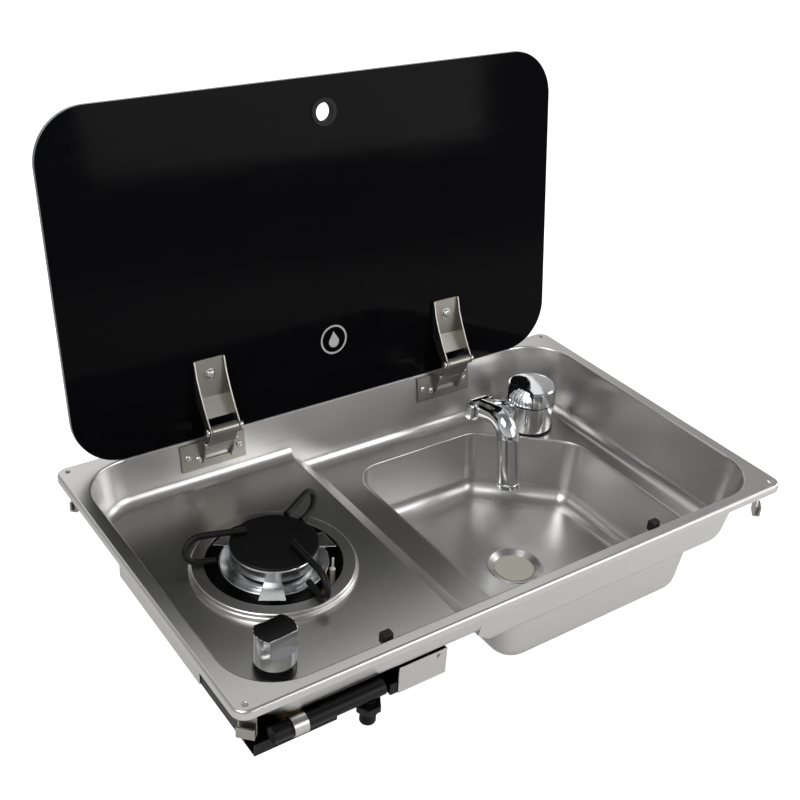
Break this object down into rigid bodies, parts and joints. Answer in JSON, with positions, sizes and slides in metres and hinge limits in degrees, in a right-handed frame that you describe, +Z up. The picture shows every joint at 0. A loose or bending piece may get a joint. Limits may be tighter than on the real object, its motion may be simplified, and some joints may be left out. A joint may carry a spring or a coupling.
{
  "type": "hob and sink combination",
  "caption": "Drop-in steel hob and sink with a folding glass lid, gas burner and knob, pan support, folding spout tap, bowl with waste plug and gas rail.",
  "frame": {"origin": "middle of the rim's four screw holes, in the plane of the rim's flat top; the worktop lies 8 mm below it", "axes": "+X along the long side from the hob to the sink, +Y from the front to the lid hinges, +Z up"},
  "size_m": [0.6, 0.3982, 0.5273],
  "materials": {
    "stainless": "satin brushed",
    "steel": "plain sheet",
    "chrome": "polished",
    "alloy": "machined",
    "enamel": "matt black enamel",
    "black_steel": "satin black",
    "black_plastic": "glossy black",
    "white_plastic": "plain white",
    "grey_plastic": "pale grey",
    "ceramic": "white ceramic",
    "rubber": "matt black",
    "brass": "plain",
    "black_glass": "black tempered, printed on the back"
  },
  "bodies": {
    "unit": {"top_tray": "stainless", "sink_bowl": "stainless", "waste_flange": "stainless", "waste_seal": "rubber", "waste_nut": "white_plastic", "waste_spigot": "white_plastic", "burner_trim_ring": "stainless", "burner_well": "enamel", "burner_base": "alloy", "burner_head": "alloy", "igniter_electrode": "ceramic", "thermocouple": "brass", "injector": "brass", "feed_pipe": "alloy", "knob_bezel": "black_plastic", "valve_spring": "steel", "gas_valve": "brass", "gas_rail": "black_steel", "rail_end_plugs": "black_steel", "saddle_clamp": "steel", "clamp_screw": "steel", "gas_inlet": "black_steel", "inlet_seal": "rubber", "burner_box": "steel", "box_base": "black_steel", "box_screws": "steel", "tap_seal": "rubber", "tap_body": "chrome", "tap_cartridge": "brass", "spout_cap": "chrome", "tap_nut": "brass", "tap_inlet": "brass", "lower_hinge_pins": "steel", "left_hinge_base": "steel", "right_hinge_base": "steel", "hinge_base_screws": "steel", "lid_buffers": "rubber", "corner_clamps": "steel"},
    "leaves": {"left_hinge_leaf": "steel", "right_hinge_leaf": "steel"},
    "lid": {"lid_glass": "black_glass", "finger_grommet": "rubber", "left_lid_bracket": "steel", "right_lid_bracket": "steel", "bracket_screws": "steel", "bracket_washers": "steel", "upper_hinge_pins": "steel"},
    "spindle": {"valve_spindle": "brass"},
    "gas_knob": {"gas_knob": "chrome", "knob_inlay": "black_plastic"},
    "tap_knob": {"tap_knob": "chrome"},
    "spout": {"spout": "chrome"},
    "pan_support": {"pan_support_rods": "enamel"},
    "burner_cap": {"burner_cap": "enamel"},
    "plug": {"waste_plug": "grey_plastic"}
  },
  "joints": [
    {"name": "leaf_fold", "type": "hinge", "parent": "unit", "child": "leaves", "pos_m": [0, 0.15175, 0], "axis": [1, 0, 0], "range_deg": [0, 151.99]},
    {"name": "lid_tilt", "type": "hinge", "parent": "leaves", "child": "lid", "pos_m": [0, 0.144, 0.019], "axis": [1, 0, 0], "range_deg": [-53.79, 0]},
    {"name": "knob_push", "type": "slide", "parent": "unit", "child": "spindle", "axis": [0, 0, -1], "range_m": [0, 0.003], "stiffness_N_per_m": 800, "springref_m": -0.006, "deforming": ["valve_spring"]},
    {"name": "knob_turn", "type": "hinge", "parent": "spindle", "child": "gas_knob", "pos_m": [-0.227, -0.107, -0.02], "axis": [0, 0, 1], "range_deg": [0, 200]},
    {"name": "tap_turn", "type": "hinge", "parent": "unit", "child": "tap_knob", "pos_m": [0.225, 0.11, -0.025], "axis": [0, 0, 1], "range_deg": [0, 90]},
    {"name": "spout_fold", "type": "hinge", "parent": "unit", "child": "spout", "pos_m": [0.151, 0.11, -0.025], "axis": [-1, 0, 0], "range_deg": [0, 90]},
    {"name": "pan_support_lift", "type": "slide", "parent": "unit", "child": "pan_support", "axis": [0, 0, 1], "range_m": [0, 0.06]},
    {"name": "cap_lift", "type": "slide", "parent": "unit", "child": "burner_cap", "axis": [0, 0, 1], "range_m": [0, 0.03]},
    {"name": "plug_lift", "type": "slide", "parent": "unit", "child": "plug", "axis": [0, 0, 1], "range_m": [0, 0.06]}
  ],
  "couplings": [
    {"joint": "leaf_fold", "follows": "lid_tilt", "ratio": -2.8219},
    {"joint": "cap_lift", "follows": "pan_support_lift", "ratio": 0.5}
  ]
}
